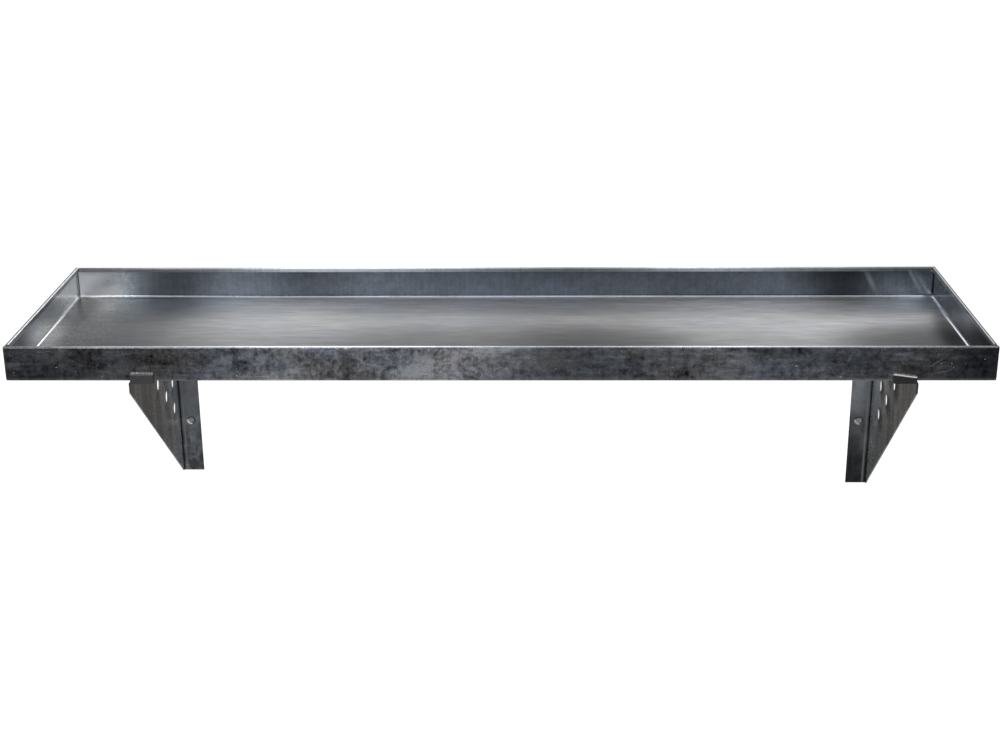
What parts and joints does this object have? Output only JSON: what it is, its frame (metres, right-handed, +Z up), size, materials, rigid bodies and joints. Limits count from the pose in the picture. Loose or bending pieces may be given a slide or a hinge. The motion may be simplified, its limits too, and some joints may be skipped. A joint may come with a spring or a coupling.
{
  "type": "wall tray shelf",
  "caption": "Long shallow sheet-steel tray with hemmed upturned walls, carried on triangular folded brackets with pierced webs, front hooking lips and screwed wall flanges.",
  "frame": {"origin": "centre of the wall-screw pattern, on the wall plane", "axes": "+X along the tray to the right, +Y into the wall, +Z up; the open front faces -Y"},
  "size_m": [1, 0.3135, 0.2735],
  "materials": {
    "tray_steel": "galvanised",
    "bracket_steel": "galvanised",
    "screw_steel": "zinc plated"
  },
  "bodies": {
    "brackets": {"left_bracket": "bracket_steel", "right_bracket": "bracket_steel", "wall_screws": "screw_steel"},
    "tray": {"tray": "tray_steel"}
  },
  "joints": [
    {"name": "tray_lift", "type": "slide", "parent": "brackets", "child": "tray", "axis": [0, 0, 1], "range_m": [0, 0.06]}
  ]
}
